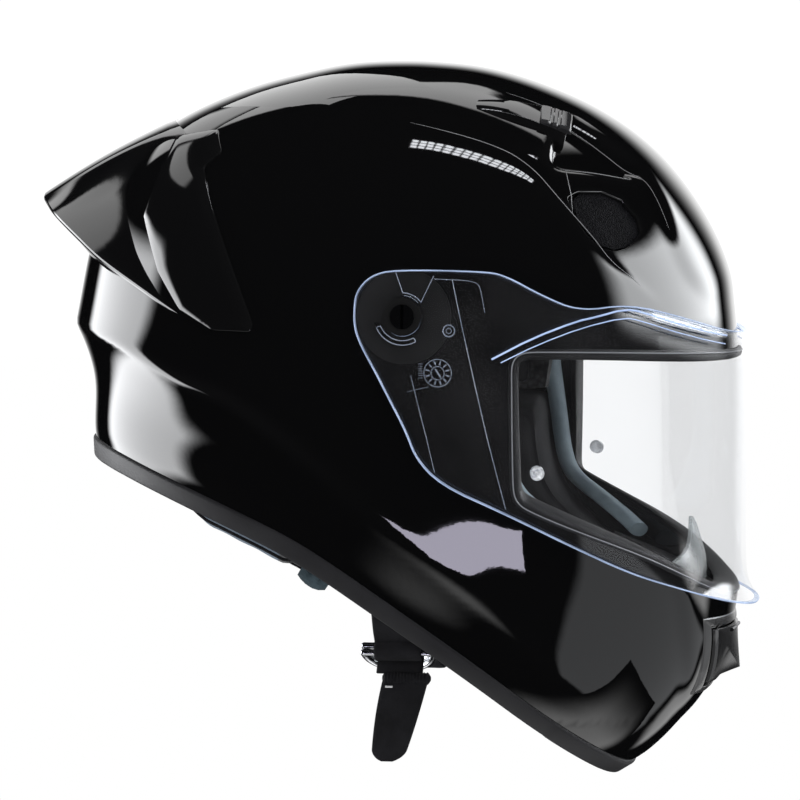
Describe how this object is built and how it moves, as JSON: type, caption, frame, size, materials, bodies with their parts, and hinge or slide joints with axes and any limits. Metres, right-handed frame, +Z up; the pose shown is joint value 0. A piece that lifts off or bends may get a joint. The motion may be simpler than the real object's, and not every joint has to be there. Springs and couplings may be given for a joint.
{
  "type": "full-face motorcycle helmet",
  "caption": "Gloss black full-face motorcycle helmet with a clear lifting visor, rear spoiler, crown and chin vents, grey suede padding and a double D-ring chin strap.",
  "frame": {"origin": "bottom centre of the helmet's bounding box, as worn", "axes": "+Z up as worn, -Y the way the face looks, -X the wearer's right side, +X the wearer's left side; the visor turns about an axis along X"},
  "size_m": [0.2598, 0.3392, 0.334],
  "materials": {
    "shell_black": "polished clear coat",
    "liner_foam": "moulded bead foam",
    "pad_fabric": "brushed lining fabric",
    "pad_suede": "soft suede",
    "black_plastic": "satin moulded",
    "trim_rubber": "matte",
    "gasket_rubber": "matte",
    "screw_steel": "dark",
    "mesh_black": "fine grille",
    "vent_black": "satin",
    "smoke_plastic": "smoked",
    "strap_steel": "plain",
    "strap_web": "woven webbing",
    "visor_clear": "clear polished",
    "pin_plastic": "plain"
  },
  "bodies": {
    "helmet": {"outer_shell": "shell_black", "rear_spoiler": "shell_black", "crown_liner_eps": "liner_foam", "chin_bar_eps": "liner_foam", "crown_pad": "pad_fabric", "cheek_pad_left": "pad_suede", "cheek_pad_right": "pad_suede", "cheek_pad_snaps": "black_plastic", "neck_roll": "pad_suede", "bottom_edge_trim": "trim_rubber", "eyeport_gasket": "gasket_rubber", "visor_base_plate_left": "black_plastic", "visor_base_plate_right": "black_plastic", "pivot_hub_left": "black_plastic", "pivot_hub_right": "black_plastic", "pivot_screws": "screw_steel", "brow_vent_mesh_left": "mesh_black", "brow_vent_mesh_right": "mesh_black", "top_vent_base_left": "shell_black", "top_vent_base_right": "shell_black", "chin_vent_frame": "vent_black", "chin_vent_mesh": "mesh_black", "breath_guard": "smoke_plastic", "strap_rivets": "strap_steel", "chin_vent_shutter_pin": "screw_steel"},
    "visor": {"visor_shield": "visor_clear", "anti_fog_pin_left": "pin_plastic", "anti_fog_pin_right": "pin_plastic"},
    "top_vent_left": {"top_vent_slider_left": "vent_black"},
    "top_vent_right": {"top_vent_slider_right": "vent_black"},
    "chin_shutter": {"chin_vent_shutter": "shell_black"},
    "chin_strap": {"strap_end_plates": "strap_steel", "chin_strap_long": "strap_web", "chin_strap_short": "strap_web"},
    "d_rings": {"d_rings": "strap_steel"},
    "strap_tail": {"strap_tail": "strap_web"}
  },
  "joints": [
    {"name": "visor_hinge", "type": "hinge", "parent": "helmet", "child": "visor", "pos_m": [0, -0.02645, 0.21454], "axis": [-1, 0, 0], "range_deg": [0, 55]},
    {"name": "top_vent_left_slide", "type": "slide", "parent": "helmet", "child": "top_vent_left", "axis": [0.2228, 0.9432, 0.2464], "range_m": [0, 0.005]},
    {"name": "top_vent_right_slide", "type": "slide", "parent": "helmet", "child": "top_vent_right", "axis": [-0.2228, 0.9432, 0.2464], "range_m": [0, 0.005]},
    {"name": "chin_shutter_hinge", "type": "hinge", "parent": "helmet", "child": "chin_shutter", "pos_m": [0, -0.16485, 0.06534], "axis": [-1, 0, 0], "range_deg": [0, 16]},
    {"name": "chin_strap_swing", "type": "hinge", "parent": "helmet", "child": "chin_strap", "pos_m": [0, -0.01245, 0.14254], "axis": [-1, 0, 0], "range_deg": [-10, 10]},
    {"name": "d_ring_hinge", "type": "hinge", "parent": "chin_strap", "child": "d_rings", "pos_m": [-0.068, -0.01445, 0.05854], "axis": [0, 1, 0], "range_deg": [-3, 6]},
    {"name": "strap_tail_swing", "type": "hinge", "parent": "chin_strap", "child": "strap_tail", "pos_m": [-0.0661, -0.01445, 0.04464], "axis": [0, 1, 0], "range_deg": [-25, 25]}
  ]
}
